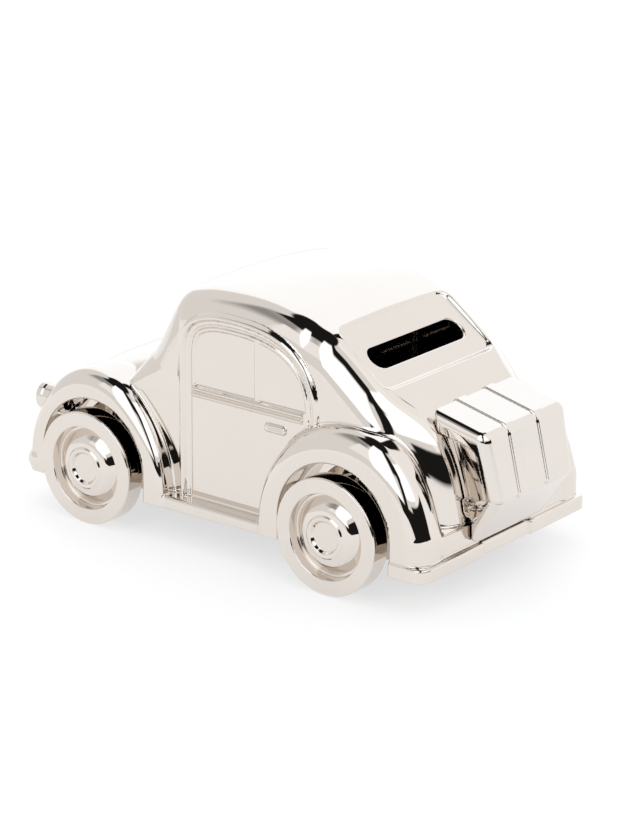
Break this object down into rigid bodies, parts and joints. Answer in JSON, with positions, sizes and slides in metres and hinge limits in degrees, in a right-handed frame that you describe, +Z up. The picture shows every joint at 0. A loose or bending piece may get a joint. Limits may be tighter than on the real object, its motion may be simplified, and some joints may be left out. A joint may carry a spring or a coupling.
{
  "type": "pull-back toy car money bank",
  "caption": "Polished die-cast toy saloon car with a coin slot in its rear window, a strapped luggage trunk, plated disc wheels and a pull-back spring motor inside.",
  "frame": {"origin": "centre of the car's footprint, on the surface that its wheels stand on", "axes": "+X towards the car's front, +Y to its left side, +Z up"},
  "size_m": [0.1396, 0.076, 0.0684],
  "materials": {
    "plated_body": "mirror-bright nickel plate on zinc casting",
    "plated_trunk": "mirror-bright nickel plate on zinc casting",
    "plated_lamp": "mirror-bright nickel plate",
    "plated_wheel": "mirror-bright nickel plate",
    "bright_steel": "ground steel rod",
    "zinc_screw": "zinc-plated steel",
    "spring_steel": "blued spring strip",
    "brass_bush": "plain brass",
    "white_acetal": "natural acetal",
    "black_plastic": "fine moulded grain",
    "grey_rubber": "matt moulded rubber"
  },
  "bodies": {
    "chassis": {"body_shell": "plated_body", "luggage_trunk": "plated_trunk", "base_plate": "black_plastic", "headlamp_left": "plated_lamp", "headlamp_right": "plated_lamp", "front_bush_left": "brass_bush", "front_bush_right": "brass_bush", "rear_bush_left": "brass_bush", "rear_bush_right": "brass_bush", "motor_case_left": "black_plastic", "motor_case_right": "black_plastic", "idler_shaft": "bright_steel", "mainspring": "spring_steel", "base_screw_front_left": "zinc_screw", "base_screw_front_right": "zinc_screw", "base_screw_rear_left": "zinc_screw", "base_screw_rear_right": "zinc_screw", "motor_screw_front": "zinc_screw", "motor_screw_rear": "zinc_screw", "trunk_screw_left": "zinc_screw", "trunk_screw_right": "zinc_screw"},
    "front_wheelset": {"front_axle": "bright_steel", "wheel_front_left": "plated_wheel", "wheel_front_right": "plated_wheel"},
    "rear_wheelset": {"rear_axle": "bright_steel", "wheel_rear_left": "plated_wheel", "wheel_rear_right": "plated_wheel", "axle_gear": "white_acetal"},
    "idler": {"idler_gear": "white_acetal"},
    "spring_arbor": {"spring_gear": "white_acetal"},
    "plug": {"coin_plug": "grey_rubber"}
  },
  "joints": [
    {"name": "front_axle_spin", "type": "hinge", "parent": "chassis", "child": "front_wheelset", "pos_m": [0.0451, 0, 0.015], "axis": [0, 1, 0], "continuous": true},
    {"name": "rear_axle_spin", "type": "hinge", "parent": "chassis", "child": "rear_wheelset", "pos_m": [-0.0331, 0, 0.015], "axis": [0, 1, 0], "continuous": true},
    {"name": "idler_spin", "type": "hinge", "parent": "chassis", "child": "idler", "pos_m": [-0.02667, 0, 0.02266], "axis": [0, 1, 0], "continuous": true},
    {"name": "spring_gear_spin", "type": "hinge", "parent": "chassis", "child": "spring_arbor", "pos_m": [-0.03681, 0, 0.02538], "axis": [0, 1, 0], "continuous": true},
    {"name": "coin_plug_pull", "type": "slide", "parent": "chassis", "child": "plug", "axis": [0, 0, -1], "range_m": [0, 0.008]}
  ],
  "couplings": [
    {"joint": "idler_spin", "follows": "rear_axle_spin", "ratio": -0.42857},
    {"joint": "spring_gear_spin", "follows": "rear_axle_spin", "ratio": 0.13393}
  ]
}
